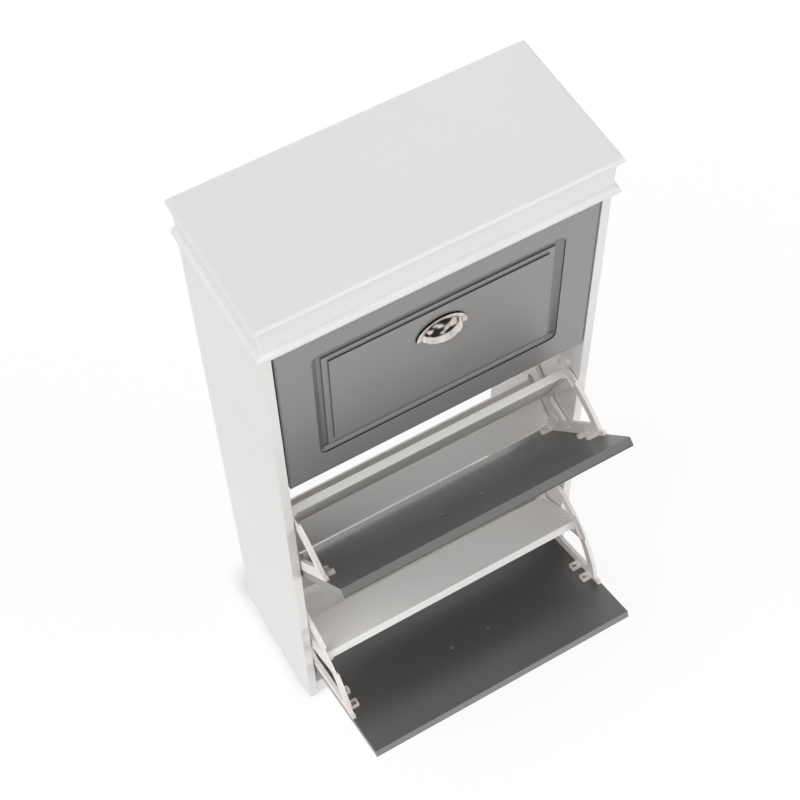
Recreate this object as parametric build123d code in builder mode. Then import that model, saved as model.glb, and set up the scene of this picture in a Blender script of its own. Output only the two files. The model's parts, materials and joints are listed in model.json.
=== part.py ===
"""Tip-out shoe cabinet: a white board carcass with a moulded crown and three flap fronts.

Each flap carries a rack of two plastic flip brackets and two boards, and turns on pins in the side panels.
Millimetres and degrees, +Z up, +Y to the back, origin on the floor below the middle of the stored part.
"""

import os
from dataclasses import dataclass
from math import asin, atan, cos, degrees, radians, sin, sqrt

from build123d import *

os.makedirs("parts", exist_ok=True)

# Carcass boards
carcass_width = 560.0
carcass_depth = 250.0
board_t = 16.0
plinth_top = 50.0
plinth_setback = 3.0
stretcher_depth = 62.0
top_panel_setback = 20.0
rail_height = 76.0
lower_rail_foot = 100.0
panel_edge_r = 1.2
wall_hole_spacing = 400.0
wall_hole_r = 2.5

# Floor glides under the side panels
glide_t = 3.0
glide_r = 7.0
glide_inset = 25.0
glide_pin_r = 1.5
glide_pin_length = 10.0

# Crown: two round-edged boards with a frieze between them
upper_crown_t = 10.0
lower_crown_t = 14.0
crown_edge_share = 0.46
crown_side_overhang = 8.0
crown_front_overhang = 9.0
frieze_height = 52.0
crown_gap = 8.0

# Flaps
level_names = ("lower", "middle", "upper")
flap_height = 354.0
flap_t = 16.0
flap_gap = 10.0
flap_foot_gap = 8.0
flap_side_gap = 2.0
flap_edge_r = 1.5
open_angle = 71.0
stored_angles = (open_angle, 38.0, 0.0)

# Routed panel on a flap's outer face
panel_margin = 55.0
panel_top_margin = 43.0
panel_corner_r = 13.0
groove_width = 26.0
groove_depth = 5.0
quirk_depth = 2.5
cove_run = 9.0
ledge_width = 10.0

# Pivot of a rack, measured from the flap's outer face and bottom edge
pivot_depth = 37.0
pivot_rise = 83.0
pin_r = 4.0
pin_seat = 7.0
pin_reach = 11.0
bush_r = 6.0
bush_length = 12.0
bush_flange_r = 9.0
bush_flange_t = 1.6

# Flip bracket, drawn about the pivot: first coordinate to the back, second up along the flap
bracket_t = 7.0
bracket_web = 3.5
rim_r = 174.0
rim_width = 19.0
arm_height = 20.0
toe_t = 7.5
toe_top = 185.0
nose_reach = 16.0
nose_front_angle = -2.0
nose_rear_angle = -8.0
post_above = 14.0
post_below = 20.0
strut_back = 122.0
strut_width = 16.0
member_border = 4.0
window_r = 8.0
pivot_web_rise = 37.0
boss_r = 11.0
boss_t = 2.0
lip_t = 2.5
lip_width = 6.0
claw_length = 26.0
floor_lip_inset = 4.0
arm_hole_r = 3.0
arm_hole_rise = 52.0
gusset_width = 22.0
gusset_hole_r = 1.5
gusset_hole_drops = (3.0, 12.0)
relief_angles = (48.3, 65.0)

# Screw tabs of a bracket: how far up the flap from the pivot, and their size
tab_rises = (-40.0, 122.0, 157.0)
tab_width = 15.0
tab_t = 7.0
tab_floor_t = 2.5
tab_wall = 2.0
tab_corner_r = 2.5
tab_reach = 18.0

# Boards of a rack: the shelf leans back from the flap, the floor is nearly square to it
rack_lean = 17.1
shelf_t = 14.0
shelf_edge_back = 98.8
shelf_edge_rise = 125.0
shelf_depth = 131.0
board_edge_r = 1.0
floor_tilt = 2.0
floor_t = 12.0
floor_edge_back = -11.0
floor_edge_rise = -49.0
floor_depth = 87.0

# Guide strip on a side panel, just outside the bracket's rim
guide_width = 18.5
guide_t = 9.0
guide_inner_round = 3.0
guide_outer_round = 8.0
guide_screw_angles = (74.0, 88.0)

# Cup handle
handle_spacing = 76.0
handle_drop = 121.0
cup_half_width = 35.0
cup_height = 29.0
cup_depth = 20.0
cup_wall = 2.2
flange_half_width = 42.5
flange_height = 35.0
flange_drop = 4.5
flange_t = 3.6
flange_edge_r = 1.6
flange_hole_depth = 2.8

# Screws, dowels and cams
tab_screw_r = 1.75
tab_screw_length = 12.0
tab_screw_head_r = 3.8
tab_screw_head_t = 2.2
spare_hole_r = 2.5
spare_hole_depth = 9.0
handle_screw_r = 2.0
handle_screw_head_r = 4.2
handle_screw_head_t = 2.4
guide_screw_r = 1.75
guide_screw_bite = 10.0
guide_screw_head_r = 3.5
guide_screw_head_t = 1.8
crown_screw_r = 2.0
crown_screw_bite = 8.0
crown_screw_head_r = 4.0
crown_screw_head_t = 2.4
crown_screw_inset = 60.0
dowel_r = 4.0
dowel_length = 30.0
dowel_seat = 11.0
dowel_share = 0.75
cam_r = 7.5
cam_t = 12.5
cam_inset = 24.0
cam_bolt_r = 3.0
cam_bolt_seat = 11.0
cam_bolt_hole_r = 3.5
bolt_share = 0.25

# Clearances
fit_clearance = 0.03
running_clearance = 0.06
seat_clearance = 0.2
stop_clearance = 0.4
guide_clearance = 0.5

# Derived places
inner_half = carcass_width / 2 - board_t
flap_half = inner_half - flap_side_gap
flap_pitch = flap_height + flap_gap
flap_foot = plinth_top + flap_foot_gap
flap_count = len(level_names)
crown_z = flap_foot + flap_count * flap_pitch - flap_gap + crown_gap
frieze_z = crown_z + lower_crown_t
upper_crown_z = frieze_z + frieze_height
flap_back = flap_t - pivot_depth
flap_top = flap_height - pivot_rise
open_cos = cos(radians(open_angle))
open_sin = sin(radians(open_angle))
open_reach = pivot_depth * (open_cos - 1) + flap_top * open_sin
front_y = (open_reach - carcass_depth) / 2
back_y = front_y + carcass_depth
pivot_y = front_y + pivot_depth
lean_cos = cos(radians(rack_lean))
lean_sin = sin(radians(rack_lean))
tilt_cos = cos(radians(floor_tilt))
tilt_sin = sin(radians(floor_tilt))
arm_top = flap_back + arm_height
window_rim_r = rim_r - rim_width
guide_inner_r = rim_r + guide_clearance
guide_outer_r = guide_inner_r + guide_width
guide_middle_r = guide_inner_r + guide_width / 2
board_end = flap_half - bracket_web - seat_clearance


def finish(piece, name):
    """Labels a finished piece and writes it."""
    piece.part.label = name
    export_step(piece.part, f"parts/{name}.step")


def pivot_z(level):
    return flap_foot + pivot_rise + level * flap_pitch


def rack_plane(level, x=0.0):
    """Plane across a rack at one x: local x runs back from the pivot, local y up along the flap."""
    turn = radians(stored_angles[level])
    origin = (x, pivot_y, pivot_z(level))
    return Plane(origin=origin, x_dir=(0, cos(turn), sin(turn)), z_dir=(1, 0, 0))


def face_plane(level, sunk=0.0, rise=0.0):
    """Plane on a flap's outer face, level with the pivot or a rise above it: local x is +X, local y up."""
    rack = rack_plane(level)
    origin = rack.from_local_coords((sunk - pivot_depth, rise, 0))
    return Plane(origin=origin, x_dir=(1, 0, 0), z_dir=-rack.x_dir)


def inside_plane(level, proud=0.0):
    """Plane on a flap's inner face, or proud of it: local x is -X, local y up along the flap."""
    rack = rack_plane(level)
    origin = rack.from_local_coords((flap_back + proud, 0, 0))
    return Plane(origin=origin, x_dir=(-1, 0, 0), z_dir=rack.x_dir)


def polar(radius, angle):
    return (radius * cos(radians(angle)), radius * sin(radians(angle)))


def shifted(point, up, off):
    """Point moved up the lean of the shelf board and square off its rear face."""
    back = point[0] + up * lean_sin + off * lean_cos
    rise = point[1] + up * lean_cos - off * lean_sin
    return (back, rise)


def at_rise(point, rise):
    """Where the leaning line through a point reaches a rise."""
    return shifted(point, (rise - point[1]) / lean_cos, 0)


def at_rim(point):
    """Where the leaning line through a point meets the inside of the rim."""
    along = point[0] * lean_sin + point[1] * lean_cos
    excess = point[0] ** 2 + point[1] ** 2 - window_rim_r**2
    return shifted(point, sqrt(along**2 - excess) - along, 0)


def on_floor(back, up):
    """Point back along the floor board's top face from its front edge, and square above it."""
    depth = floor_edge_back + back * tilt_cos - up * tilt_sin
    rise = floor_edge_rise + back * tilt_sin + up * tilt_cos
    return (depth, rise)


def floor_rise(above, back):
    """Rise of the line a distance above the floor board's top face, at a depth behind the pivot."""
    start = on_floor(0, above)
    return start[1] + (back - start[0]) * tilt_sin / tilt_cos


# Corners of the bracket's drawing
shelf_edge = (shelf_edge_back, shelf_edge_rise)
toe_back = flap_back + toe_t
foot_rear = on_floor(floor_depth + member_border, -floor_t - member_border)
foot_front = (flap_back, floor_rise(-floor_t - member_border, flap_back))
strut_slope = (-post_below - foot_rear[1]) / (strut_back - foot_rear[0])
strut_shift = strut_width * sqrt(1 + strut_slope**2) / strut_slope


def bracket_outline():
    """Face inside the bracket's outer edge: toe, rim, stop nose, post, rear strut, floor arm and flap arm."""
    rim_front = (toe_back, sqrt(rim_r**2 - toe_back**2))
    nose_r = rim_r + nose_reach
    nose_middle = (nose_front_angle + nose_rear_angle) / 2
    post_end = (sqrt(window_rim_r**2 - post_below**2), -post_below)
    with BuildSketch(Plane.XY) as shape:
        with BuildLine():
            Polyline((flap_back, toe_top), (toe_back, toe_top), rim_front)
            ThreePointArc(rim_front, polar(rim_r, 45), polar(rim_r, nose_front_angle))
            Line(polar(rim_r, nose_front_angle), polar(nose_r, nose_front_angle))
            ThreePointArc(
                polar(nose_r, nose_front_angle), polar(nose_r, nose_middle), polar(nose_r, nose_rear_angle)
            )
            Polyline(polar(nose_r, nose_rear_angle), post_end, (strut_back, -post_below), foot_rear)
            Polyline(foot_rear, foot_front, (flap_back, toe_top))
        make_face()
    return shape.sketch


def front_window():
    """Window between the flap arm, the rim, the gusset below the shelf board and the pivot's web."""
    side = shifted(shelf_edge, 0, -shelf_t - member_border)
    rim_front = (arm_top, sqrt(window_rim_r**2 - arm_top**2))
    rim_back = at_rim(shifted(shelf_edge, 0, -shelf_t - gusset_width))
    middle_angle = (90 + degrees(asin(rim_back[1] / window_rim_r))) / 2
    with BuildSketch(Plane.XY) as window:
        with BuildLine():
            Line((arm_top, pivot_web_rise), rim_front)
            ThreePointArc(rim_front, polar(window_rim_r, middle_angle), rim_back)
            Polyline(rim_back, at_rise(side, post_above), (arm_top, pivot_web_rise))
        make_face()
        fillet(window.vertices(), window_r)
    return window.sketch


def rear_window():
    """Window between the shelf board, the rim and the post."""
    side = shifted(shelf_edge, 0, member_border)
    rim_top = at_rim(side)
    rim_low = (sqrt(window_rim_r**2 - post_above**2), post_above)
    middle_angle = degrees(asin(rim_top[1] / window_rim_r) + asin(post_above / window_rim_r)) / 2
    with BuildSketch(Plane.XY) as window:
        with BuildLine():
            Polyline(rim_top, at_rise(side, post_above), rim_low)
            ThreePointArc(rim_low, polar(window_rim_r, middle_angle), rim_top)
        make_face()
        fillet(window.vertices(), window_r)
    return window.sketch


def foot_window():
    """Window between the post, the rear strut and the floor arm."""
    strut_front = strut_back - strut_shift
    floor_slope = tilt_sin / tilt_cos
    front_rise = floor_rise(member_border, arm_top)
    strut_rise = -post_below - strut_slope * (strut_front - arm_top)
    corner_back = arm_top + (front_rise - strut_rise) / (strut_slope - floor_slope)
    corner = (corner_back, floor_rise(member_border, corner_back))
    with BuildSketch(Plane.XY) as window:
        with BuildLine():
            Polyline(
                (arm_top, -post_below), (strut_front, -post_below), corner, (arm_top, front_rise), close=True
            )
        make_face()
        fillet(window.vertices(), window_r)
    return window.sketch


def turned_section(middle, width, height, turn):
    """Rectangle about a point of the bracket's drawing, turned from the flap's inner face."""
    with BuildSketch(Plane.XY) as section:
        with Locations(Location((*middle, 0), (0, 0, turn))):
            Rectangle(width, height)
    return section.sketch


def leaning_section(corner, off, up, clearance=0.0):
    """Leaning rectangle from a corner, square off the shelf's rear face and up its lean."""
    middle = shifted(corner, up / 2, off / 2)
    return turned_section(middle, abs(off) + 2 * clearance, abs(up) + 2 * clearance, -rack_lean)


def shelf_section(clearance=0.0):
    return leaning_section(shelf_edge, -shelf_t, -shelf_depth, clearance)


def floor_section(clearance=0.0):
    middle = on_floor(floor_depth / 2, -floor_t / 2)
    return turned_section(middle, floor_depth + 2 * clearance, floor_t + 2 * clearance, floor_tilt)


def lip_sections():
    """Lips that hold the ends of the boards: behind the shelf, in front of its edge and under the floor."""
    behind = shifted(shelf_edge, -shelf_depth, seat_clearance)
    before = shifted(shelf_edge, 0, -shelf_t - seat_clearance)
    under = on_floor((floor_depth + floor_lip_inset) / 2, -floor_t - seat_clearance - lip_t / 2)
    return (
        leaning_section(behind, lip_t, shelf_depth - claw_length),
        leaning_section(before, -lip_t, -claw_length),
        turned_section(under, floor_depth - floor_lip_inset, lip_t, floor_tilt),
    )


def relief_section():
    """Part of the rim beside the shelf's edge that is only as thick as the web."""
    low, high = relief_angles
    middle = (low + high) / 2
    outer_r = rim_r + seat_clearance
    with BuildSketch(Plane.XY) as face:
        with BuildLine():
            Line(polar(window_rim_r, low), polar(outer_r, low))
            ThreePointArc(polar(outer_r, low), polar(outer_r, middle), polar(outer_r, high))
            Line(polar(outer_r, high), polar(window_rim_r, high))
            ThreePointArc(polar(window_rim_r, high), polar(window_rim_r, middle), polar(window_rim_r, low))
        make_face()
    return face.sketch


def gusset_holes():
    """Places of the two small holes in the gusset below the shelf board."""
    near = shifted(shelf_edge, -gusset_hole_drops[0], -shelf_t - gusset_width / 2)
    far = shifted(shelf_edge, -gusset_hole_drops[1], -shelf_t - gusset_width / 2)
    return [near, far]


def tab_spots(side):
    """Screw places of one bracket on the flap's inner face, where local x is -X."""
    x = side * (flap_half - bracket_t - tab_reach + tab_width / 2)
    return [(-x, rise) for rise in tab_rises]


def bracket(level, side):
    """White moulded flip bracket at one end of a rack; side is -1 on the left and 1 on the right."""
    outer = rack_plane(level, side * flap_half)
    web = rack_plane(level, side * (flap_half - bracket_web))
    inner = rack_plane(level, side * (flap_half - bracket_t))
    with BuildPart() as piece:
        with BuildSketch(outer):
            add(bracket_outline())
            for window in (front_window(), rear_window(), foot_window()):
                add(window, mode=Mode.SUBTRACT)
        extrude(amount=-side * bracket_t)
        with BuildSketch(inner):
            Circle(boss_r)
        extrude(amount=-side * boss_t)
        with BuildSketch(inner):
            for lip in lip_sections():
                add(lip)
        extrude(amount=-side * lip_width)
        with BuildSketch(web):
            add(shelf_section(seat_clearance))
            add(floor_section(seat_clearance))
        extrude(amount=-side * (bracket_t + lip_width), mode=Mode.SUBTRACT)
        with BuildSketch(web):
            add(relief_section())
        extrude(amount=-side * (bracket_t + lip_width), mode=Mode.SUBTRACT)
        with BuildSketch(inside_plane(level)):
            with Locations(*tab_spots(side)):
                RectangleRounded(tab_width, tab_width, tab_corner_r)
                with Locations((-side * (tab_reach - tab_width / 2) / 2, 0)):
                    Rectangle(tab_reach - tab_width / 2, tab_width)
        extrude(amount=tab_t)
        with BuildSketch(inside_plane(level, tab_floor_t)):
            with Locations(*tab_spots(side)):
                RectangleRounded(tab_width - 2 * tab_wall, tab_width - 2 * tab_wall, tab_corner_r)
        extrude(amount=tab_t, mode=Mode.SUBTRACT)
        with BuildSketch(inside_plane(level)):
            with Locations(*tab_spots(side)):
                Circle(tab_screw_r + fit_clearance)
        extrude(amount=tab_floor_t, mode=Mode.SUBTRACT)
        with BuildSketch(outer):
            Circle(pin_r + fit_clearance)
        extrude(amount=-side * pin_seat, mode=Mode.SUBTRACT)
        with BuildSketch(outer):
            with Locations((flap_back + arm_height / 2, arm_hole_rise)):
                Circle(arm_hole_r)
            with Locations(*gusset_holes()):
                Circle(gusset_hole_r)
        extrude(amount=-side * bracket_t, mode=Mode.SUBTRACT)
    return piece


def bracket_screws(level):
    """Pan-head screws through the bracket tabs into the flap."""
    spots = tab_spots(-1) + tab_spots(1)
    with BuildPart() as piece:
        with BuildSketch(inside_plane(level, tab_floor_t)):
            with Locations(*spots):
                Circle(tab_screw_head_r)
        extrude(amount=tab_screw_head_t)
        with BuildSketch(inside_plane(level, tab_floor_t)):
            with Locations(*spots):
                Circle(tab_screw_r)
        extrude(amount=fit_clearance - tab_floor_t - tab_screw_length)
    return piece


def pivot_pins(level):
    """Steel pins on which a rack turns, pressed into its brackets and running in the bushes."""
    with BuildPart() as piece:
        for side in (-1, 1):
            with BuildSketch(rack_plane(level, side * (flap_half - pin_seat + fit_clearance))):
                Circle(pin_r)
            extrude(amount=side * (pin_seat - fit_clearance + flap_side_gap + pin_reach))
    return piece


def shelf_board(level):
    """Shelf board of a rack, which parts its front and rear pockets; its ends are housed in the brackets."""
    with BuildPart() as piece:
        with BuildSketch(rack_plane(level, -board_end)):
            add(shelf_section())
        extrude(amount=2 * board_end)
        rack = rack_plane(level)
        up_lean = Axis(rack.origin, rack.x_dir * lean_sin + rack.y_dir * lean_cos)
        fillet(piece.edges().filter_by(Axis.X).sort_by(up_lean)[-2:], board_edge_r)
    return piece


def floor_board(level):
    """Floor board of a rack, across the bottom of its front pocket; its ends are housed in the brackets."""
    with BuildPart() as piece:
        with BuildSketch(rack_plane(level, -board_end)):
            add(floor_section())
        extrude(amount=2 * board_end)
    return piece


def handle_spots():
    """Handle screw places on either face of a flap."""
    return [(-handle_spacing / 2, flap_top - handle_drop), (handle_spacing / 2, flap_top - handle_drop)]


def flap(level):
    """Flap of routed board with a raised field, and the holes for its bracket and handle screws."""
    panel_width = 2 * (flap_half - panel_margin)
    panel_height = flap_height - panel_margin - panel_top_margin
    field_width = panel_width - 2 * groove_width
    field_height = panel_height - 2 * groove_width
    cove_depth = groove_depth - quirk_depth
    cove_angle = degrees(atan(cove_run / cove_depth))
    middle = flap_top - flap_height / 2
    panel_middle = flap_top - panel_top_margin - panel_height / 2
    spare_x = flap_half - bracket_t - tab_reach / 2
    with BuildPart() as piece:
        with BuildSketch(face_plane(level, 0, middle)):
            Rectangle(2 * flap_half, flap_height)
        extrude(amount=-flap_t)
        through = Axis(rack_plane(level).origin, rack_plane(level).x_dir)
        fillet(piece.faces().sort_by(through)[0].edges(), flap_edge_r)
        with BuildSketch(face_plane(level, 0, panel_middle)):
            RectangleRounded(panel_width, panel_height, panel_corner_r)
        extrude(amount=-quirk_depth, mode=Mode.SUBTRACT)
        with BuildSketch(face_plane(level, quirk_depth, panel_middle)):
            RectangleRounded(panel_width, panel_height, panel_corner_r)
        extrude(amount=-cove_depth, taper=cove_angle, mode=Mode.SUBTRACT)
        with BuildSketch(face_plane(level, groove_depth, panel_middle)):
            Rectangle(field_width + 2 * ledge_width, field_height + 2 * ledge_width)
        extrude(amount=cove_depth)
        with BuildSketch(face_plane(level, quirk_depth, panel_middle)):
            Rectangle(field_width, field_height)
        extrude(amount=quirk_depth)
        with BuildSketch(inside_plane(level)):
            with Locations(*tab_spots(-1), *tab_spots(1)):
                Circle(tab_screw_r + fit_clearance)
        extrude(amount=-tab_screw_length, mode=Mode.SUBTRACT)
        with BuildSketch(inside_plane(level)):
            with Locations((-spare_x, arm_hole_rise), (spare_x, arm_hole_rise)):
                Circle(spare_hole_r)
        extrude(amount=-spare_hole_depth, mode=Mode.SUBTRACT)
        with BuildSketch(inside_plane(level)):
            with Locations(*handle_spots()):
                Circle(handle_screw_r + fit_clearance)
        extrude(amount=-flap_t, mode=Mode.SUBTRACT)
    return piece


def half_ellipse(half_width, height):
    """Face under a half ellipse that stands on the local x axis."""
    with BuildSketch(Plane.XY) as face:
        with BuildLine():
            EllipticalCenterArc((0, 0), half_width, height, start_angle=0, arc_size=180)
            Line((-half_width, 0), (half_width, 0))
        make_face()
    return face.sketch


def cup_body(inset=0.0):
    """Body inside the cup's outer face, or inside its wall, swung up from its lower edge on the local XZ plane."""
    axis_sunk = (cup_height**2 - cup_depth**2) / (2 * cup_depth)
    with BuildPart() as body:
        with BuildSketch(Plane.XZ):
            add(half_ellipse(cup_half_width - inset, cup_depth - inset))
        revolve(axis=Axis((0, 0, -axis_sunk), (-1, 0, 0)), revolution_arc=90)
    return body.part


def handle(level):
    """Cast cup handle: a shell open below, on a flat flange with a blind screw hole at each end."""
    flat = face_plane(level, 0, flap_top - handle_drop - flange_drop)
    outward = Axis(flat.origin, flat.z_dir)
    with BuildPart() as piece:
        with BuildSketch(flat):
            add(half_ellipse(flange_half_width, flange_height))
        extrude(amount=flange_t)
        fillet(piece.faces().sort_by(outward)[-1].edges().sort_by(SortBy.LENGTH)[-1], flange_edge_r)
        with BuildSketch(flat):
            with Locations((-handle_spacing / 2, flange_drop), (handle_spacing / 2, flange_drop)):
                Circle(handle_screw_r + fit_clearance)
        extrude(amount=flange_hole_depth, mode=Mode.SUBTRACT)
        add(cup_body().moved(flat.location))
        add(cup_body(cup_wall).moved(flat.location), mode=Mode.SUBTRACT)
        split(bisect_by=flat)
    return piece


def handle_screws(level):
    """Machine screws from a flap's inner face into the flange of its handle."""
    with BuildPart() as piece:
        with BuildSketch(inside_plane(level)):
            with Locations(*handle_spots()):
                Circle(handle_screw_head_r)
        extrude(amount=handle_screw_head_t)
        with BuildSketch(inside_plane(level)):
            with Locations(*handle_spots()):
                Circle(handle_screw_r)
        extrude(amount=fit_clearance - flap_t - flange_hole_depth)
    return piece


@dataclass
class CrossBoard:
    """Board between the side panels, held at each end by a dowel and by a bolt drawn in by a cam."""

    front: float
    foot: float
    depth: float
    height: float
    cam_plane: Plane

    def spot(self, share):
        """Place on a side panel, a share of the way across the board and half way through it."""
        if self.height > self.depth:
            return (self.front + self.depth / 2, self.foot + share * self.height)
        return (self.front + share * self.depth, self.foot + self.height / 2)

    def cam_spots(self):
        """Places of the two cams on the board's cam face."""
        y, z = self.spot(bolt_share)
        across = z if self.height > self.depth else y
        return [(cam_inset - inner_half, across), (inner_half - cam_inset, across)]


def from_front(y):
    """Upright plane looking to the back, into a board whose front face is at y."""
    return Plane(origin=(0, y, 0), x_dir=(-1, 0, 0), z_dir=(0, 1, 0))


def from_back(y):
    """Upright plane looking to the front, into a board whose rear face is at y."""
    return Plane(origin=(0, y, 0), x_dir=(1, 0, 0), z_dir=(0, -1, 0))


plinth_y = front_y + plinth_setback
rail_y = back_y - board_t
top_foot = crown_z - board_t
rail_top_foot = top_foot - rail_height
cross_boards = {
    "plinth": CrossBoard(plinth_y, glide_t, board_t, plinth_top - glide_t, from_back(plinth_y + board_t)),
    "bottom_stretcher": CrossBoard(
        back_y - stretcher_depth,
        plinth_top - board_t,
        stretcher_depth,
        board_t,
        Plane.XY.offset(plinth_top - board_t),
    ),
    "lower_rear_rail": CrossBoard(rail_y, lower_rail_foot, board_t, rail_height, from_front(rail_y)),
    "upper_rear_rail": CrossBoard(rail_y, rail_top_foot, board_t, rail_height, from_front(rail_y)),
    "top_panel": CrossBoard(
        front_y + top_panel_setback,
        top_foot,
        carcass_depth - top_panel_setback,
        board_t,
        Plane.XY.offset(top_foot),
    ),
}
dowel_spots = [board.spot(dowel_share) for board in cross_boards.values()]
bolt_spots = [board.spot(bolt_share) for board in cross_boards.values()]
wall_spots = [(-wall_hole_spacing / 2, rail_top_foot + rail_height / 2)]
wall_spots.append((wall_hole_spacing / 2, rail_top_foot + rail_height / 2))
crown_screw_x = inner_half - crown_screw_inset
crown_screw_ys = (front_y + crown_screw_inset, back_y - crown_screw_inset)
crown_screw_spots = [(x, y) for x in (-crown_screw_x, crown_screw_x) for y in crown_screw_ys]


def cross_board(name):
    """One cross board with its dowel, bolt and cam holes, and any holes for fixings of its own."""
    board = cross_boards[name]
    with BuildPart() as piece:
        with BuildSketch(panel_plane(-1)):
            with Locations((board.front + board.depth / 2, board.foot + board.height / 2)):
                Rectangle(board.depth, board.height)
        extrude(amount=2 * inner_half)
        for side in (-1, 1):
            with BuildSketch(panel_plane(side)):
                with Locations(board.spot(dowel_share)):
                    Circle(dowel_r + fit_clearance)
            extrude(amount=-side * (dowel_length - dowel_seat), mode=Mode.SUBTRACT)
            with BuildSketch(panel_plane(side)):
                with Locations(board.spot(bolt_share)):
                    Circle(cam_bolt_hole_r)
            extrude(amount=-side * cam_inset, mode=Mode.SUBTRACT)
        with BuildSketch(board.cam_plane):
            with Locations(*board.cam_spots()):
                Circle(cam_r + fit_clearance)
        extrude(amount=cam_t, mode=Mode.SUBTRACT)
        if name == "upper_rear_rail":
            with BuildSketch(from_back(back_y)):
                with Locations(*wall_spots):
                    Circle(wall_hole_r)
            extrude(amount=board_t, mode=Mode.SUBTRACT)
        if name == "top_panel":
            with BuildSketch(Plane.XY.offset(top_foot)):
                with Locations(*crown_screw_spots):
                    Circle(crown_screw_r + fit_clearance)
            extrude(amount=board_t, mode=Mode.SUBTRACT)
    return piece


def dowels():
    """Wooden dowels between the side panels and the cross boards."""
    with BuildPart() as piece:
        for side in (-1, 1):
            with BuildSketch(panel_plane(side).offset(side * (dowel_seat - fit_clearance))):
                with Locations(*dowel_spots):
                    Circle(dowel_r)
            extrude(amount=-side * (dowel_length - 2 * fit_clearance))
    return piece


def cam_bolts():
    """Steel bolts from the side panels to the cams."""
    with BuildPart() as piece:
        for side in (-1, 1):
            with BuildSketch(panel_plane(side).offset(side * (cam_bolt_seat - fit_clearance))):
                with Locations(*bolt_spots):
                    Circle(cam_bolt_r)
            extrude(amount=-side * (cam_bolt_seat + cam_inset - cam_r - 2 * fit_clearance))
    return piece


def cams():
    """Die-cast cams in the cross boards, one near each end."""
    with BuildPart() as piece:
        for board in cross_boards.values():
            with BuildSketch(board.cam_plane):
                with Locations(*board.cam_spots()):
                    Circle(cam_r)
            extrude(amount=cam_t - fit_clearance)
    return piece


def panel_plane(side):
    """Plane on a side panel's inner face: local x is +Y, local y is +Z."""
    return Plane.YZ.offset(side * inner_half)


def pivot_spots():
    return [(pivot_y, pivot_z(level)) for level in range(flap_count)]


def guide_screw_spots():
    """Places of the guide screws on a side panel."""
    spots = []
    for y, z in pivot_spots():
        for angle in guide_screw_angles:
            back, rise = polar(guide_middle_r, angle)
            spots.append((y + back, z + rise))
    return spots


def glide_spots(side):
    x = side * (inner_half + board_t / 2)
    return [(x, front_y + glide_inset), (x, back_y - glide_inset)]


def side_panel(side):
    """Side panel with blind holes for bushes, guide screws, dowels, cam bolts and glides."""
    holes = (
        (pivot_spots(), bush_r, bush_length),
        (guide_screw_spots(), guide_screw_r, guide_screw_bite),
        (dowel_spots, dowel_r, dowel_seat),
        (bolt_spots, cam_bolt_r, cam_bolt_seat),
    )
    with BuildPart() as piece:
        with BuildSketch(panel_plane(side)):
            with Locations((front_y + carcass_depth / 2, (glide_t + crown_z) / 2)):
                Rectangle(carcass_depth, crown_z - glide_t)
        extrude(amount=side * board_t)
        fillet(piece.edges().filter_by(Axis.Z).sort_by(Axis.Y)[:2], panel_edge_r)
        for spots, radius, depth in holes:
            with BuildSketch(panel_plane(side)):
                with Locations(*spots):
                    Circle(radius + fit_clearance)
            extrude(amount=side * depth, mode=Mode.SUBTRACT)
        with BuildSketch(Plane.XY.offset(glide_t)):
            with Locations(*glide_spots(side)):
                Circle(glide_pin_r + fit_clearance)
        extrude(amount=glide_pin_length, mode=Mode.SUBTRACT)
    return piece


def floor_glides():
    """Nailed plastic glides under the side panels."""
    spots = glide_spots(-1) + glide_spots(1)
    with BuildPart() as piece:
        with BuildSketch(Plane.XY):
            with Locations(*spots):
                Circle(glide_r)
        extrude(amount=glide_t)
        with BuildSketch(Plane.XY.offset(glide_t)):
            with Locations(*spots):
                Circle(glide_pin_r)
        extrude(amount=glide_pin_length - fit_clearance)
    return piece


def pivot_bushes():
    """Flanged plastic bushes pressed into the side panels, one for each pin."""
    with BuildPart() as piece:
        for side in (-1, 1):
            with BuildSketch(panel_plane(side)):
                with Locations(*pivot_spots()):
                    Circle(bush_r)
            extrude(amount=side * (bush_length - fit_clearance))
            with BuildSketch(panel_plane(side)):
                with Locations(*pivot_spots()):
                    Circle(bush_flange_r)
            extrude(amount=-side * bush_flange_t)
            with BuildSketch(panel_plane(side).offset(-side * bush_flange_t)):
                with Locations(*pivot_spots()):
                    Circle(pin_r + running_clearance)
            extrude(amount=side * (bush_flange_t + bush_length), mode=Mode.SUBTRACT)
    return piece


def guide_section():
    """Face of a guide about its pivot: its front end stops a closing toe, its rear end an opening nose."""
    front_back = toe_back + stop_clearance
    nose_turn = degrees(stop_clearance / guide_middle_r)
    rear_angle = open_angle + nose_front_angle + nose_turn
    middle_angle = (90 + rear_angle) / 2
    outer_front = (front_back, sqrt(guide_outer_r**2 - front_back**2))
    inner_front = (front_back, sqrt(guide_inner_r**2 - front_back**2))
    outer_rear = polar(guide_outer_r, rear_angle)
    inner_rear = polar(guide_inner_r, rear_angle)
    with BuildSketch(Plane.XY) as face:
        with BuildLine():
            Line(inner_front, outer_front)
            ThreePointArc(outer_front, polar(guide_outer_r, middle_angle), outer_rear)
            Line(outer_rear, inner_rear)
            ThreePointArc(inner_rear, polar(guide_inner_r, middle_angle), inner_front)
        make_face()
        front_corners = face.vertices().sort_by(Axis.X)[:2].sort_by(Axis.Y)
        fillet(front_corners[0], guide_inner_round)
        fillet(face.vertices().sort_by(Axis.Y)[-1], guide_outer_round)
    return face.sketch


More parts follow.
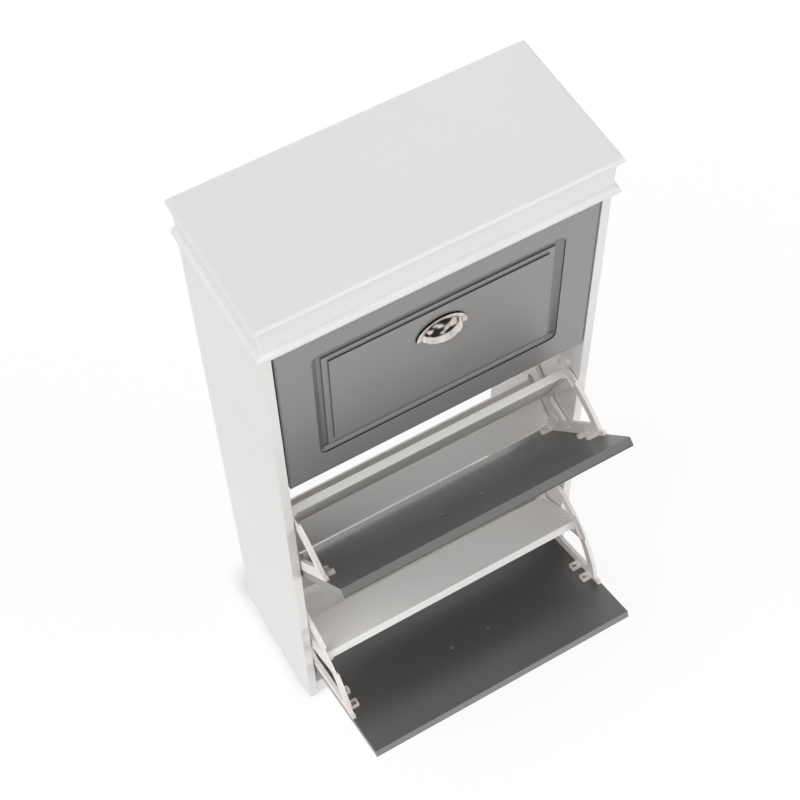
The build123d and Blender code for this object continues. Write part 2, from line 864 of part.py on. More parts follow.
def guide_strips(side):
    """Curved plastic guides screwed to a side panel, one beside the rim of each bracket."""
    with BuildPart() as piece:
        for level in range(flap_count):
            origin = (side * inner_half, pivot_y, pivot_z(level))
            with BuildSketch(Plane(origin=origin, x_dir=(0, 1, 0), z_dir=(1, 0, 0))):
                add(guide_section())
            extrude(amount=-side * guide_t)
        with BuildSketch(panel_plane(side)):
            with Locations(*guide_screw_spots()):
                Circle(guide_screw_r + fit_clearance)
        extrude(amount=-side * guide_t, mode=Mode.SUBTRACT)
    return piece


def guide_screws():
    """Pan-head screws through the guides into the side panels."""
    with BuildPart() as piece:
        for side in (-1, 1):
            head = panel_plane(side).offset(-side * guide_t)
            with BuildSketch(head):
                with Locations(*guide_screw_spots()):
                    Circle(guide_screw_head_r)
            extrude(amount=-side * guide_screw_head_t)
            with BuildSketch(head):
                with Locations(*guide_screw_spots()):
                    Circle(guide_screw_r)
            extrude(amount=side * (guide_t + guide_screw_bite - fit_clearance))
    return piece


def crown_board(foot, thickness, screw_spots):
    """Crown board with rounded front and side edges, over or under the frieze."""
    depth = carcass_depth + crown_front_overhang
    with BuildPart() as piece:
        with BuildSketch(Plane.XY.offset(foot)):
            with Locations((0, back_y - depth / 2)):
                Rectangle(carcass_width + 2 * crown_side_overhang, depth)
        extrude(amount=thickness)
        level_edges = piece.edges().filter_by(Axis.Z, reverse=True)
        fillet(level_edges.sort_by(Axis.Y)[:-2], crown_edge_share * thickness)
        if screw_spots:
            with BuildSketch(Plane.XY.offset(foot)):
                with Locations(*screw_spots):
                    Circle(crown_screw_r + fit_clearance)
            extrude(amount=crown_screw_bite, mode=Mode.SUBTRACT)
    return piece


def crown_screws():
    """Screws up through the top panel into the lower crown board."""
    with BuildPart() as piece:
        with BuildSketch(Plane.XY.offset(top_foot)):
            with Locations(*crown_screw_spots):
                Circle(crown_screw_head_r)
        extrude(amount=-crown_screw_head_t)
        with BuildSketch(Plane.XY.offset(top_foot)):
            with Locations(*crown_screw_spots):
                Circle(crown_screw_r)
        extrude(amount=board_t + crown_screw_bite - fit_clearance)
    return piece


def frieze_board(x_low, x_high, y_low, y_high):
    """Upright board of the frieze, glued between the two crown boards."""
    with BuildPart() as piece:
        with BuildSketch(Plane.XY.offset(frieze_z)):
            with Locations(((x_low + x_high) / 2, (y_low + y_high) / 2)):
                Rectangle(x_high - x_low, y_high - y_low)
        extrude(amount=frieze_height)
    return piece


# Carcass
finish(side_panel(-1), "left_side_panel")
finish(side_panel(1), "right_side_panel")
for name in cross_boards:
    finish(cross_board(name), name)
finish(dowels(), "dowels")
finish(cams(), "cams")
finish(cam_bolts(), "cam_bolts")
finish(floor_glides(), "floor_glides")
finish(pivot_bushes(), "pivot_bushes")
finish(guide_strips(-1), "left_guide_strips")
finish(guide_strips(1), "right_guide_strips")
finish(guide_screws(), "guide_screws")

# Crown
outer_half = carcass_width / 2
frieze_back = front_y + board_t
finish(crown_board(crown_z, lower_crown_t, crown_screw_spots), "lower_crown_board")
finish(crown_board(upper_crown_z, upper_crown_t, None), "upper_crown_board")
finish(crown_screws(), "crown_screws")
finish(frieze_board(-outer_half, outer_half, front_y, frieze_back), "front_frieze")
finish(frieze_board(-outer_half, -inner_half, frieze_back, back_y), "left_frieze")
finish(frieze_board(inner_half, outer_half, frieze_back, back_y), "right_frieze")
finish(frieze_board(-inner_half, inner_half, rail_y, back_y), "rear_frieze")

# Racks
for level, name in enumerate(level_names):
    finish(flap(level), f"{name}_flap")
    finish(handle(level), f"{name}_handle")
    finish(handle_screws(level), f"{name}_handle_screws")
    finish(bracket(level, -1), f"{name}_left_bracket")
    finish(bracket(level, 1), f"{name}_right_bracket")
    finish(bracket_screws(level), f"{name}_bracket_screws")
    finish(pivot_pins(level), f"{name}_pivot_pins")
    finish(shelf_board(level), f"{name}_shelf_board")
    finish(floor_board(level), f"{name}_floor_board")
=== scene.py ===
"""Looks of a tip-out shoe cabinet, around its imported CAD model, in metres."""

import json
import math

import bmesh
import bpy
from mathutils import Matrix, Vector


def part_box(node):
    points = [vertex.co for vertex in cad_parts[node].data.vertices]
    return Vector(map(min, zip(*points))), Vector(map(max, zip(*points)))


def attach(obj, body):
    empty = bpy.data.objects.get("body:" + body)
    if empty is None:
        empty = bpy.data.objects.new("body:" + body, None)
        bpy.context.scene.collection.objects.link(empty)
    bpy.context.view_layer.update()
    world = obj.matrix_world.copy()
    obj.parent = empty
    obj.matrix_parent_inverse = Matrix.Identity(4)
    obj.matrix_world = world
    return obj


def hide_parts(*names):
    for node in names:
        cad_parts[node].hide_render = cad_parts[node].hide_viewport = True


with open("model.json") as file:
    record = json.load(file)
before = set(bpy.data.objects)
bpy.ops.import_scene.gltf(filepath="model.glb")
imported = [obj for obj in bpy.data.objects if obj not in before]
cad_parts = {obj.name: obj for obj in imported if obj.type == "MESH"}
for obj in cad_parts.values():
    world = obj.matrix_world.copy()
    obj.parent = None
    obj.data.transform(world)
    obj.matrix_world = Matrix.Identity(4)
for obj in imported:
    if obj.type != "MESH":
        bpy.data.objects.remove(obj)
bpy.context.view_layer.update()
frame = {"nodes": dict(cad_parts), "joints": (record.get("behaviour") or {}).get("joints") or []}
nodes = frame["nodes"]


# Side panels
# Two tall boards of particle board, faced and edged in white melamine, that carry everything.
# They are sawn square, drilled inside for bushes, dowels and bolts, and stand on glides.
def linear(colour):
    """Linear colour of an sRGB hex value."""
    parts = [int(colour[i : i + 2], 16) / 255 for i in (1, 3, 5)]
    lit = [c / 12.92 if c <= 0.04045 else ((c + 0.055) / 1.055) ** 2.4 for c in parts]
    return (*lit, 1.0)


def add(tree, kind, values=None, **settings):
    """Adds a node to a material, sets it up and links or fills its sockets."""
    node = tree.nodes.new(kind)
    for name, value in settings.items():
        setattr(node, name, value)
    for key, value in (values or {}).items():
        socket = node.inputs[key]
        if isinstance(value, bpy.types.NodeSocket):
            tree.links.new(value, socket)
        else:
            socket.default_value = value
    return node


def blank(name):
    """A new material, its nodes, its principled shader and the place of a point on its piece."""
    material = bpy.data.materials.new(name)
    material.use_nodes = True
    tree = material.node_tree
    tree.nodes.clear()
    shader = add(tree, "ShaderNodeBsdfPrincipled")
    output = add(tree, "ShaderNodeOutputMaterial", {"Surface": shader.outputs[0]})
    output.is_active_output = True
    place = add(tree, "ShaderNodeTexCoord").outputs["Object"]
    return material, tree, shader, place


def dress(material, *names):
    """Gives CAD nodes one material."""
    for name in names:
        nodes[name].data.materials.clear()
        nodes[name].data.materials.append(material)


def clouded(tree, shader, pattern, dark, light):
    """Gives a shader a colour that drifts between two hex values with a pattern."""
    drift = {"Factor": pattern, "A": linear(dark), "B": linear(light)}
    colour = add(tree, "ShaderNodeMix", drift, data_type="RGBA").outputs["Result"]
    tree.links.new(colour, shader.inputs["Base Color"])
    return colour


def grained(tree, shader, height, strength, relief_mm, smooth, rough):
    """Gives a shader a fine relief and a roughness that follow one pattern."""
    gloss = {"Value": height, "To Min": smooth, "To Max": rough}
    gloss = add(tree, "ShaderNodeMapRange", gloss).outputs["Result"]
    tree.links.new(gloss, shader.inputs["Roughness"])
    relief = {"Height": height, "Strength": strength, "Distance": relief_mm / 1000}
    relief = add(tree, "ShaderNodeBump", relief).outputs["Normal"]
    tree.links.new(relief, shader.inputs["Normal"])
    return gloss


# Resin paper pressed on a board shows an even white with a faint cloud in it, and a soft gloss
# that a fine pearl grain breaks up. The grain, really about 0.5 mm, is drawn coarser to show.
def melamine(name, light, dark, pearl_mm, smooth, rough):
    """White melamine between two hex values, with a pearl grain."""
    material, tree, shader, place = blank(name)
    cloud_mm = 160
    cloud = {"Vector": place, "Scale": 1000 / cloud_mm, "Detail": 3.0}
    cloud = add(tree, "ShaderNodeTexNoise", cloud).outputs["Fac"]
    pearl = {"Vector": place, "Scale": 1000 / pearl_mm, "Detail": 2.0}
    pearl = add(tree, "ShaderNodeTexNoise", pearl).outputs["Fac"]
    clouded(tree, shader, cloud, dark, light)
    grained(tree, shader, pearl, strength=0.08, relief_mm=0.4, smooth=smooth, rough=rough)
    return material


white_melamine = melamine(
    "white melamine on particle board", "#efedeb", "#e9e7e5", pearl_mm=2.5, smooth=0.36, rough=0.5
)
dress(white_melamine, "left_side_panel", "right_side_panel")


# Cross boards
# Plinth, bottom stretcher, rear rails and top panel, sawn from the same white board.
# Beech dowels line each end up, and a zinc plated cam in the board draws it in on a bolt.
dress(white_melamine, "plinth", "bottom_stretcher", "top_panel")
dress(white_melamine, "lower_rear_rail", "upper_rear_rail")


# Turned beech shows a pale straw brown with short darker flecks along the dowel.
def beech():
    """Turned beech for the dowels, which lie along x."""
    material, tree, shader, place = blank("turned beech")
    fleck_length_mm = 8.0
    fleck_width_mm = 1.1
    along = 1000 / fleck_length_mm
    across = 1000 / fleck_width_mm
    stretched = {"Vector": place, "Scale": (along, across, across)}
    stretched = add(tree, "ShaderNodeMapping", stretched).outputs[0]
    fleck = {"Vector": stretched, "Scale": 1.0, "Detail": 4.0}
    fleck = add(tree, "ShaderNodeTexNoise", fleck).outputs["Fac"]
    clouded(tree, shader, fleck, "#a9835a", "#d9b98e")
    grained(tree, shader, fleck, strength=0.2, relief_mm=0.2, smooth=0.55, rough=0.7)
    return material


dress(beech(), "dowels")


# Bright zinc plate shows a bluish grey metal with a slightly clouded shine.
def bright_zinc():
    """Zinc plate on steel, for cams, bolts, pins and screws."""
    material, tree, shader, place = blank("bright zinc on steel")
    cloud_mm = 2.5
    cloud = {"Vector": place, "Scale": 1000 / cloud_mm, "Detail": 3.0}
    cloud = add(tree, "ShaderNodeTexNoise", cloud).outputs["Fac"]
    clouded(tree, shader, cloud, "#8f9296", "#c3c6c9")
    grained(tree, shader, cloud, strength=0.05, relief_mm=0.1, smooth=0.22, rough=0.42)
    shader.inputs["Metallic"].default_value = 1.0
    return material


zinc = bright_zinc()
dress(zinc, "cam_bolts", "cams")


# Crown
# Two thin fibre boards with rounded edges and an upright frieze between them, in white foil.
# The frieze is glued between the boards, and screws from below hold them to the top panel.
# The foil shows the panels' calm white, a little glossier and with a wider grain.
white_foil = melamine(
    "white foil on fibre board", "#eeecec", "#e9e7e7", pearl_mm=3.5, smooth=0.32, rough=0.44
)
dress(white_foil, "lower_crown_board", "upper_crown_board")
dress(white_foil, "front_frieze", "left_frieze", "right_frieze", "rear_frieze")


def solids(name):
    """Corner points of each separate solid in a CAD node."""
    mesh = nodes[name].data
    spots = [tuple(round(c, 5) for c in v.co) for v in mesh.vertices]
    leader = {spot: spot for spot in spots}

    def lead(spot):
        while leader[spot] != spot:
            spot = leader[spot]
        return spot

    for face in mesh.polygons:
        first = lead(spots[face.vertices[0]])
        for corner in face.vertices[1:]:
            leader[lead(spots[corner])] = first
    groups = {}
    for spot in leader:
        groups.setdefault(lead(spot), []).append(Vector(spot))
    return list(groups.values())


def joined(shape, ring, other, smooth):
    """Joins two rings of corners with faces."""
    count = len(ring)
    for i in range(count):
        corners = (ring[i], ring[(i + 1) % count], other[(i + 1) % count], other[i])
        shape.faces.new(corners).smooth = smooth


def cross_head_screw(shape, points, axis):
    """Adds a pan-head screw with a cross recess and a ridged shank in its CAD solid's room."""
    same_height = 2e-4
    reach = [p.dot(axis) for p in points]
    top = max(reach)
    tip = min(reach)
    rim = [p for p, r in zip(points, reach) if top - r < same_height]
    middle = sum(rim, Vector()) / len(rim)
    head_r = max((p - middle).length for p in rim)
    off_axis = [(p - middle - axis * (r - top)).length for p, r in zip(points, reach)]
    seat = min(r for r, distance in zip(reach, off_axis) if distance > 0.95 * head_r)
    end = middle + axis * (tip - top)
    shank_r = max((p - end).length for p, r in zip(points, reach) if r - tip < same_height)
    side = axis.orthogonal().normalized()
    other = axis.cross(side)
    turns = 24

    def ring(radius, height):
        corners = []
        for i in range(turns):
            angle = 2 * math.pi * i / turns
            spoke = side * math.cos(angle) + other * math.sin(angle)
            corners.append(shape.verts.new(middle + axis * (height - top) + spoke * radius))
        return corners

    # The head's outline, in shares of its radius and its thickness, and then the ridged shank.
    thick = top - seat
    dome = [(0.55, 0.0), (0.8, 0.12), (0.94, 0.4), (1.0, 0.75), (1.0, 1.0)]
    rings = [ring(head_r * share, top - thick * drop) for share, drop in dome]
    rings.append(ring(shank_r, seat))
    ridge = 0.0012
    root_r = 0.82 * shank_r
    tip_r = 0.6 * shank_r
    crest = seat - ridge
    while crest - ridge > tip:
        rings.append(ring(root_r, crest))
        rings.append(ring(shank_r, crest - ridge / 2))
        crest -= ridge
    rings.append(ring(tip_r, tip))
    for upper, lower in zip(rings, rings[1:]):
        joined(shape, upper, lower, True)
    shape.faces.new(reversed(rings[-1]))

    # The cross recess tapers to a smaller cross at its bottom.
    arm = 0.4 * head_r
    half = 0.11 * head_r
    taper = 0.7
    deep = 0.6 * thick
    star = [(arm, half), (half, half), (half, arm), (-half, arm), (-half, half), (-arm, half)]
    star += [(-x, -y) for x, y in star]
    mouth = [shape.verts.new(middle + side * x + other * y) for x, y in star]
    bottom = middle - axis * deep
    floor = [shape.verts.new(bottom + (side * x + other * y) * taper) for x, y in star]
    edges = []
    for loop in (rings[0], mouth):
        for i, corner in enumerate(loop):
            pair = (corner, loop[(i + 1) % len(loop)])
            edges.append(shape.edges.get(pair) or shape.edges.new(pair))
    bmesh.ops.triangle_fill(shape, edges=edges, normal=axis, use_beauty=True)
    joined(shape, mouth, floor, False)
    shape.faces.new(floor)


def screws(name, body, head_side, material):
    """Replaces a CAD node of plain screws by ones with a cross recess."""
    shape = bmesh.new()
    for points in solids(name):
        cross_head_screw(shape, points, head_side(points))
    bmesh.ops.recalc_face_normals(shape, faces=shape.faces)
    mesh = bpy.data.meshes.new(f"cross_head_{name}")
    shape.to_mesh(mesh)
    shape.free()
    mesh.materials.append(material)
    piece = bpy.data.objects.new(f"cross_head_{name}", mesh)
    bpy.context.scene.collection.objects.link(piece)
    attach(piece, body)
    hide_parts(name)


def from_below(points):
    """Direction to the heads of the crown screws."""
    return Vector((0.0, 0.0, -1.0))


screws("crown_screws", "carcass", from_below, zinc)


# Flip hardware on the side panels
# Curved guides, flanged bushes and floor glides, moulded in a warm white plastic.
# White lacquered screws hold the guides, the bushes are pressed in and the glides nailed on.
#
# Moulded polypropylene shows a warm, slightly waxy white with a fine spark-eroded texture.
# Its grit, really about 0.2 mm, is drawn at 0.7 mm so that it shows.
def moulded_plastic(name, light, dark):
    """White plastic between two hex values, with the grit of its mould."""
    material, tree, shader, place = blank(name)
    flow_mm = 40
    grit_mm = 0.7
    flow = {"Vector": place, "Scale": 1000 / flow_mm, "Detail": 3.0}
    flow = add(tree, "ShaderNodeTexNoise", flow).outputs["Fac"]
    grit = {"Vector": place, "Scale": 1000 / grit_mm, "Detail": 2.0}
    grit = add(tree, "ShaderNodeTexNoise", grit).outputs["Fac"]
    clouded(tree, shader, flow, dark, light)
    grained(tree, shader, grit, strength=0.1, relief_mm=0.3, smooth=0.34, rough=0.5)
    return material


white_plastic = moulded_plastic("moulded white polypropylene", "#f3eeeb", "#eae4e0")
dress(white_plastic, "left_guide_strips", "right_guide_strips", "pivot_bushes", "floor_glides")

# Lacquer on the screw heads shows a plain white, shinier than the plastic around it.
white_lacquer = melamine(
    "white lacquer on steel", "#e9e7e5", "#dedcda", pearl_mm=1.0, smooth=0.25, rough=0.35
)


def from_the_middle(points):
    """Direction to the heads of the screws in a side panel's inner face."""
    return Vector((-math.copysign(1.0, points[0].x), 0.0, 0.0))


screws("guide_screws", "carcass", from_the_middle, white_lacquer)


# Flaps
# Fibre board fronts, routed with a raised field, in a satin grey foil that is drawn over the
# front and the edges in a press. The inner face keeps the board's own graphite backing paper,
# and screws through the tabs of the flip brackets hold the flap from there.
levels = ("lower", "middle", "upper")
stored_angles = {"lower": 71.0, "middle": 38.0, "upper": 0.0}
pivots = {joint["child"]: Vector(joint["pos_m"]) for joint in frame["joints"]}
flap_bottom = -0.083
flap_top = 0.271


def inward(level):
    """Direction from a flap's front to its inner face."""
    turn = math.radians(stored_angles[level])
    return Vector((0.0, math.cos(turn), math.sin(turn)))


def upward(level):
    """Direction up along a flap from its pivot."""
    turn = math.radians(stored_angles[level])
    return Vector((0.0, -math.sin(turn), math.cos(turn)))


def on_flap(tree, place, level):
    """How far in and up from the pivot a point lies, and how much its surface faces inward."""
    offset = {0: place, 1: pivots[f"{level}_rack"]}
    offset = add(tree, "ShaderNodeVectorMath", offset, operation="SUBTRACT").outputs[0]
    normal = add(tree, "ShaderNodeTexCoord").outputs["Normal"]
    found = []
    for arrow, way in ((offset, inward(level)), (offset, upward(level)), (normal, inward(level))):
        share = {0: arrow, 1: way}
        share = add(tree, "ShaderNodeVectorMath", share, operation="DOT_PRODUCT")
        found.append(share.outputs["Value"])
    return found


# Satin foil shows a neutral grey with a soft sheen and a faint pearl. Painted shade darkens its
# groove, the walls of its routing, the faces round it and a narrow border of its front. The paper
# inside is darker, nearly black in shade.
def grey_flap(level):
    """Grey foil and graphite paper on one flap, with painted shade in its groove and round its
    front.
    """
    material, tree, shader, place = blank(f"satin grey foil on the {level} flap")
    depth, rise, facing = on_flap(tree, place, level)
    across = add(tree, "ShaderNodeSeparateXYZ", {0: place}).outputs["X"]
    inner = {0: facing, 1: 0.9}
    inner = add(tree, "ShaderNodeMath", inner, operation="GREATER_THAN").outputs[0]
    upright = {0: facing, 1: 0.0, 2: 0.6}
    upright = add(tree, "ShaderNodeMath", upright, operation="COMPARE").outputs[0]

    # The part of the front that holds the routed panel, and in it the groove and its walls, where
    # shade is painted.
    panel_half_width = 0.23
    panel_middle = 0.1
    panel_half_height = 0.145
    wide = {0: across, 1: 0.0, 2: panel_half_width}
    wide = add(tree, "ShaderNodeMath", wide, operation="COMPARE").outputs[0]
    tall = {0: rise, 1: panel_middle, 2: panel_half_height}
    tall = add(tree, "ShaderNodeMath", tall, operation="COMPARE").outputs[0]
    within = add(tree, "ShaderNodeMath", {0: wide, 1: tall}, operation="MULTIPLY").outputs[0]
    # Painted shade: the routed walls inside the panel are coloured near black, as if in shadow.
    painted_wall_shade = add(tree, "ShaderNodeMath", {0: within, 1: upright}, operation="MULTIPLY").outputs[0]
    # Painted shade: the faces round the flap, outside the panel, are coloured darker, for the
    # shadow of the gap beside it.
    painted_edge_shade = {0: upright, 1: within}
    painted_edge_shade = add(tree, "ShaderNodeMath", painted_edge_shade, operation="SUBTRACT", use_clamp=True).outputs[0]
    ledge_level = -0.0344
    groove_level = -0.0338
    sunk = {"Value": depth, "From Min": ledge_level, "From Max": groove_level}
    sunk = add(tree, "ShaderNodeMapRange", sunk).outputs["Result"]
    groove = add(tree, "ShaderNodeMath", {0: sunk, 1: within}, operation="MULTIPLY").outputs[0]
    # Painted shade: the step walls between the groove and the ledge get a softer dark.
    ledge_edge = -0.0346
    below = {0: depth, 1: ledge_edge}
    below = add(tree, "ShaderNodeMath", below, operation="GREATER_THAN").outputs[0]
    painted_step_shade = add(tree, "ShaderNodeMath", {0: painted_wall_shade, 1: below}, operation="MULTIPLY").outputs[0]

    # Painted shade darkens the groove where shadow falls, next to the rail above and left, and
    # next to
    # the ledge below and right: where the shade starts, where it is full, its reach, how dark it
    # is.
    even_shade = 0.38
    shade = {0: groove, 1: even_shade}
    shade = add(tree, "ShaderNodeMath", shade, operation="MULTIPLY").outputs[0]
    sides = (
        (rise, 0.215, 0.222, 0.009, 0.95),
        (across, -0.193, -0.200, 0.009, 0.62),
        (across, 0.202, 0.196, 0.006, 0.62),
        (rise, -0.023, -0.017, 0.006, 0.85),
    )
    for spot, start, full, extent, weight in sides:
        band = {"Value": spot, "From Min": start, "From Max": full, "To Max": weight}
        band = add(tree, "ShaderNodeMapRange", band, interpolation_type="SMOOTHSTEP")
        beside = {0: spot, 1: full, 2: extent}
        beside = add(tree, "ShaderNodeMath", beside, operation="COMPARE").outputs[0]
        band = {0: band.outputs["Result"], 1: beside}
        band = add(tree, "ShaderNodeMath", band, operation="MULTIPLY").outputs[0]
        band = add(tree, "ShaderNodeMath", {0: band, 1: groove}, operation="MULTIPLY").outputs[0]
        shade = add(tree, "ShaderNodeMath", {0: shade, 1: band}, operation="MAXIMUM").outputs[0]

    # Painted shade darkens a narrow border of the front where it turns round, for the shadow of
    # the gap beside the flap.
    turn_width = 0.004
    half_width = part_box(f"{level}_flap")[1].x
    borders = ((across, half_width), (across, -half_width), (rise, flap_bottom), (rise, flap_top))
    painted_gap_shade = None
    for spot, border in borders:
        away = border - math.copysign(turn_width, border)
        band = {"Value": spot, "From Min": away, "From Max": border}
        band = add(tree, "ShaderNodeMapRange", band, interpolation_type="SMOOTHSTEP")
        band = band.outputs["Result"]
        if painted_gap_shade:
            band = add(tree, "ShaderNodeMath", {0: painted_gap_shade, 1: band}, operation="MAXIMUM").outputs[0]
        painted_gap_shade = band
    front_face = -0.0365
    behind_front = -0.0335
    near_front = {"Value": depth, "From Min": behind_front, "From Max": front_face}
    near_front = add(tree, "ShaderNodeMapRange", near_front).outputs["Result"]
    painted_gap_shade = {0: painted_gap_shade, 1: near_front}
    painted_gap_shade = add(tree, "ShaderNodeMath", painted_gap_shade, operation="MULTIPLY").outputs[0]

    # The pearl, really about 0.5 mm, is drawn at 2.4 mm so that it shows.
    cloud_mm = 140
    pearl_mm = 2.4
    cloud = {"Vector": place, "Scale": 1000 / cloud_mm, "Detail": 3.0}
    cloud = add(tree, "ShaderNodeTexNoise", cloud).outputs["Fac"]
    pearl = {"Vector": place, "Scale": 1000 / pearl_mm, "Detail": 2.0}
    pearl = add(tree, "ShaderNodeTexNoise", pearl).outputs["Fac"]
    colour = clouded(tree, shader, cloud, "#7b7a78", "#838280")
    paper = {"Factor": cloud, "A": linear("#3d3d3c"), "B": linear("#444443")}
    paper = add(tree, "ShaderNodeMix", paper, data_type="RGBA").outputs["Result"]
    # The painted shades, in order: the groove, the faces round the flap, the front border, the
    # routed walls and the step walls; then the graphite paper of the inner face.
    painted_shades_and_paper = (
        (shade, linear("#353534")),
        (painted_edge_shade, linear("#6a6967")),
        (painted_gap_shade, linear("#2c2c2b")),
        (painted_wall_shade, linear("#262625")),
        (painted_step_shade, linear("#565654")),
        (inner, paper),
    )
    for factor, darker_tone in painted_shades_and_paper:
        darker_tone = {"Factor": factor, "A": colour, "B": darker_tone}
        colour = add(tree, "ShaderNodeMix", darker_tone, data_type="RGBA").outputs["Result"]
    tree.links.new(colour, shader.inputs["Base Color"])
    shader.inputs["IOR"].default_value = 2.1
    sheen = grained(tree, shader, pearl, strength=0.06, relief_mm=0.4, smooth=0.3, rough=0.42)
    rougher_paper = 0.02
    sheen = {0: inner, 1: rougher_paper, 2: sheen}
    sheen = add(tree, "ShaderNodeMath", sheen, operation="MULTIPLY_ADD").outputs[0]
    tree.links.new(sheen, shader.inputs["Roughness"])
    return material


for level in levels:
    dress(grey_flap(level), f"{level}_flap")


# Cup handles
# Half-round cups with a flange, cast in zinc alloy, polished and nickel plated.
# Two screws from the flap's inner face hold each of them.
#
# Polished nickel shows a warm white mirror, a little hazed, with a painted dark line along the
# flange's narrow rim, standing in for the shadow and dark reflection there.
def polished_nickel(level):
    """Nickel plate on one handle, with painted shade along its flange's rim."""
    material, tree, shader, place = blank(f"polished nickel plate on the {level} handle")
    haze_mm = 14
    haze = {"Vector": place, "Scale": 1000 / haze_mm, "Detail": 2.0}
    haze = add(tree, "ShaderNodeTexNoise", haze).outputs["Fac"]
    bright = clouded(tree, shader, haze, "#a3968e", "#fbf4ee")
    depth, _, facing = on_flap(tree, place, level)
    # Painted shade and reflection: the faces of the flange's narrow rim are coloured near black.
    flange_front = -0.0410
    low = {0: depth, 1: flange_front}
    low = add(tree, "ShaderNodeMath", low, operation="GREATER_THAN").outputs[0]
    rim = {"Value": facing, "From Min": -0.75, "From Max": -0.55}
    rim = add(tree, "ShaderNodeMapRange", rim).outputs["Result"]
    rim = add(tree, "ShaderNodeMath", {0: low, 1: rim}, operation="MULTIPLY").outputs[0]
    darker_tone = {"Factor": rim, "A": bright, "B": linear("#2a2826")}
    colour = add(tree, "ShaderNodeMix", darker_tone, data_type="RGBA").outputs["Result"]
    tree.links.new(colour, shader.inputs["Base Color"])
    shader.inputs["Metallic"].default_value = 1.0
    grained(tree, shader, haze, strength=0.01, relief_mm=0.3, smooth=0.08, rough=0.16)
    return material


for level in levels:
    dress(polished_nickel(level), f"{level}_handle")
    screws(f"{level}_handle_screws", f"{level}_rack", lambda points: inward(level), zinc)


# Racks
# Moulded flip brackets hold a shelf board and a floor board by their ends, and their tabs are
# screwed to the flap. The boards are thin white melamine, and the zinc plated steel pins in the
# brackets turn in the bushes of the side panels.
for level in levels:
    dress(white_plastic, f"{level}_left_bracket", f"{level}_right_bracket")
    dress(white_melamine, f"{level}_shelf_board", f"{level}_floor_board")
    dress(zinc, f"{level}_pivot_pins")
    screws(f"{level}_bracket_screws", f"{level}_rack", lambda points: inward(level), zinc)


# Floor and light
# A wide floor of pale paint in a white room, lit softly, with a broad key from the front left.
# What the eye, a mirror or glass sees of the floor and the room is white, and a part of the
# floor's own shade stays in it, so that the cabinet keeps its shadow.
floor_mesh = bpy.data.meshes.new("pale floor")
reach = 8.0
corners = [(-reach, -reach, 0), (reach, -reach, 0), (reach, reach, 0), (-reach, reach, 0)]
floor_mesh.from_pydata(corners, [], [(0, 1, 2, 3)])
floor = bpy.data.objects.new("pale_floor", floor_mesh)
bpy.context.scene.collection.objects.link(floor)


def seen_rays(tree):
    """One for rays from the eye, a mirror or glass, and nothing for those that carry light."""
    path = add(tree, "ShaderNodeLightPath")
    pair = {0: path.outputs["Is Camera Ray"], 1: path.outputs["Is Glossy Ray"]}
    first = add(tree, "ShaderNodeMath", pair, operation="MAXIMUM")
    pair = {0: first.outputs[0], 1: path.outputs["Is Transmission Ray"]}
    return add(tree, "ShaderNodeMath", pair, operation="MAXIMUM").outputs[0]


# Matt paint shows an even near white, with hardly any gloss.
material, tree, shader, place = blank("pale studio floor")
shader.inputs["Base Color"].default_value = linear("#f2f2f2")
shader.inputs["Roughness"].default_value = 0.9
shader.inputs["Specular IOR Level"].default_value = 0.1
glow = add(tree, "ShaderNodeEmission", {"Color": linear("#ffffff"), "Strength": 1.04})

# Right under the cabinet the floor keeps all of its shade, and out in the open only a little.
# Each side has the line where that shade starts and the one where it is full.
shaded = None
spot = add(tree, "ShaderNodeSeparateXYZ", {0: place})
under = (("X", 0.31, 0.27), ("X", -0.31, -0.27), ("Y", 0.33, 0.25), ("Y", -0.03, 0.03))
for axis, clear, full in under:
    side = {"Value": spot.outputs[axis], "From Min": clear, "From Max": full}
    side = add(tree, "ShaderNodeMapRange", side, interpolation_type="SMOOTHSTEP")
    side = side.outputs["Result"]
    if shaded:
        side = add(tree, "ShaderNodeMath", {0: shaded, 1: side}, operation="MULTIPLY").outputs[0]
    shaded = side
glow_share = {"Value": shaded, "To Min": 0.84, "To Max": 0.0}
glow_share = add(tree, "ShaderNodeMapRange", glow_share).outputs["Result"]
faded = {0: glow_share, 1: shader.outputs[0], 2: glow.outputs[0]}
faded = add(tree, "ShaderNodeMixShader", faded).outputs[0]
shown = {0: seen_rays(tree), 1: shader.outputs[0], 2: faded}
shown = add(tree, "ShaderNodeMixShader", shown).outputs[0]
tree.links.new(shown, tree.nodes["Material Output"].inputs["Surface"])
floor_mesh.materials.append(material)

world = bpy.data.worlds.new("white room")
bpy.context.scene.world = world
world.use_nodes = True
room = world.node_tree
room.nodes.clear()
light = add(room, "ShaderNodeBackground", {"Color": linear("#ffffff"), "Strength": 0.34})
white = add(room, "ShaderNodeBackground", {"Color": linear("#ffffff"), "Strength": 1.0})
either = {0: seen_rays(room), 1: light.outputs[0], 2: white.outputs[0]}
either = add(room, "ShaderNodeMixShader", either).outputs[0]

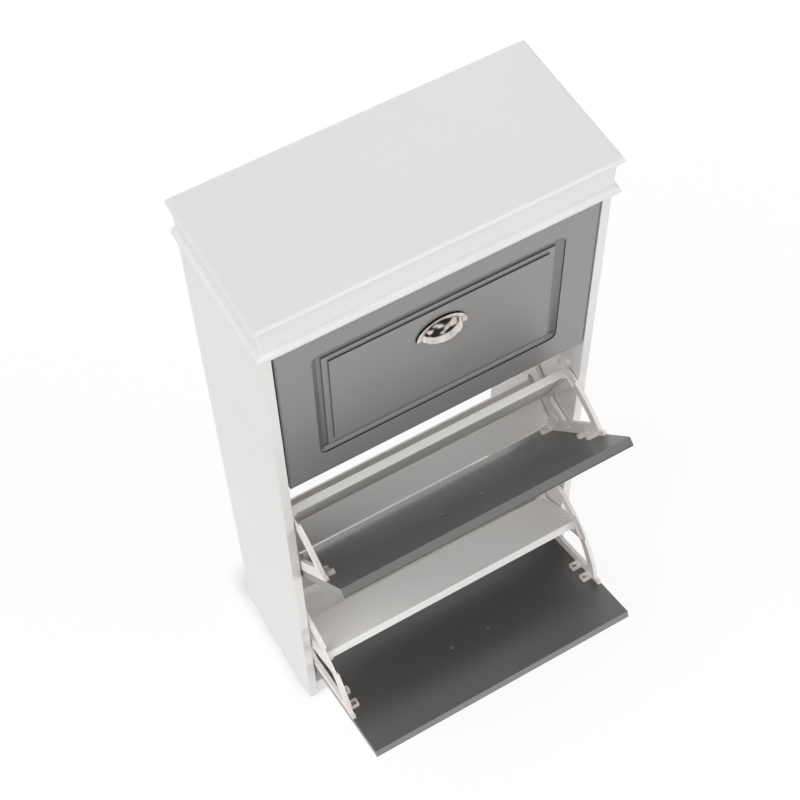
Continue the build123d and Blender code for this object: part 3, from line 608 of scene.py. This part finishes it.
# Polished metal mirrors a white floor and walls, and a dark front with a few bright windows.
direction = add(room, "ShaderNodeTexCoord").outputs["Generated"]
front_high = {0: direction, 1: (0.0, -0.7, 0.7)}
height = add(room, "ShaderNodeVectorMath", front_high, operation="DOT_PRODUCT").outputs["Value"]
front = {"Value": height, "From Min": 0.0, "From Max": 0.32}
front = add(room, "ShaderNodeMapRange", front, interpolation_type="SMOOTHSTEP").outputs["Result"]
patches = {"Vector": direction, "Scale": 2.1, "Detail": 0.5}
patches = add(room, "ShaderNodeTexNoise", patches).outputs["Fac"]
windows = {"Value": patches, "From Min": 0.66, "From Max": 0.5}
windows = add(room, "ShaderNodeMapRange", windows, interpolation_type="SMOOTHSTEP")
windows = windows.outputs["Result"]
dark = add(room, "ShaderNodeMath", {0: front, 1: windows}, operation="MULTIPLY").outputs[0]
mirrored = add(room, "ShaderNodeLightPath").outputs["Is Glossy Ray"]
dark = add(room, "ShaderNodeMath", {0: dark, 1: mirrored}, operation="MULTIPLY").outputs[0]
shade = add(room, "ShaderNodeBackground", {"Color": linear("#ffffff"), "Strength": 0.03})
whole = add(room, "ShaderNodeMixShader", {0: dark, 1: either, 2: shade.outputs[0]})
add(room, "ShaderNodeOutputWorld", {"Surface": whole.outputs[0]})


def direction_to(azimuth, elevation):
    """Direction to a place around the cabinet, from its front to its right and up."""
    flat = math.cos(elevation)
    return Vector((math.sin(azimuth) * flat, -math.cos(azimuth) * flat, math.sin(elevation)))


def soft_sun(name, energy, azimuth, elevation):
    """A wide soft lamp far away, which metal doesn't mirror."""
    lamp_data = bpy.data.lights.new(name, "SUN")
    lamp_data.energy = energy
    spread = 45
    lamp_data.angle = math.radians(spread)
    lamp = bpy.data.objects.new(name, lamp_data)
    bpy.context.scene.collection.objects.link(lamp)
    lamp.visible_glossy = False
    ray = -direction_to(math.radians(azimuth), math.radians(elevation))
    lamp.rotation_mode = "QUATERNION"
    lamp.rotation_quaternion = ray.to_track_quat("-Z", "Y")


soft_sun("front_left_key", 0.74, -45, 50)
soft_sun("left_fill", 1.1, -90, 45)
soft_sun("low_right_fill", 1.3, 45, 20)


# Camera
# The photograph's viewpoint: high in front of the cabinet and to its left, with a long lens.
# Its place and turn come from fitting the cabinet's straight edges to those in the picture.
azimuth = math.radians(-28.865)
elevation = math.radians(57.724)
roll = math.radians(-1.556)
back = direction_to(azimuth, elevation)
level_right = Vector((math.cos(azimuth), math.sin(azimuth), 0.0))
level_up = back.cross(level_right)
right = level_right * math.cos(roll) + level_up * math.sin(roll)
up = level_up * math.cos(roll) - level_right * math.sin(roll)
focal_pixels = 1709.845
image_pixels = 800
sensor_mm = 36.0
camera_data = bpy.data.cameras.new("photo camera")
camera_data.sensor_width = sensor_mm
camera_data.lens = focal_pixels / image_pixels * sensor_mm
camera_data.clip_start = 0.1
camera_data.clip_end = 50.0
camera = bpy.data.objects.new("photo_camera", camera_data)
bpy.context.scene.collection.objects.link(camera)
fit_unit = 0.0056
front_foot = Vector((0.0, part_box("left_side_panel")[0].y, 0.0))
stand = (right * -13.144 + up * 78.802 + back * 589.276) * fit_unit + front_foot
rows = [[right[i], up[i], back[i], stand[i]] for i in range(3)]
camera.matrix_world = Matrix(rows + [[0.0, 0.0, 0.0, 1.0]])
bpy.context.scene.camera = camera
bpy.context.scene.view_settings.view_transform = "Standard"
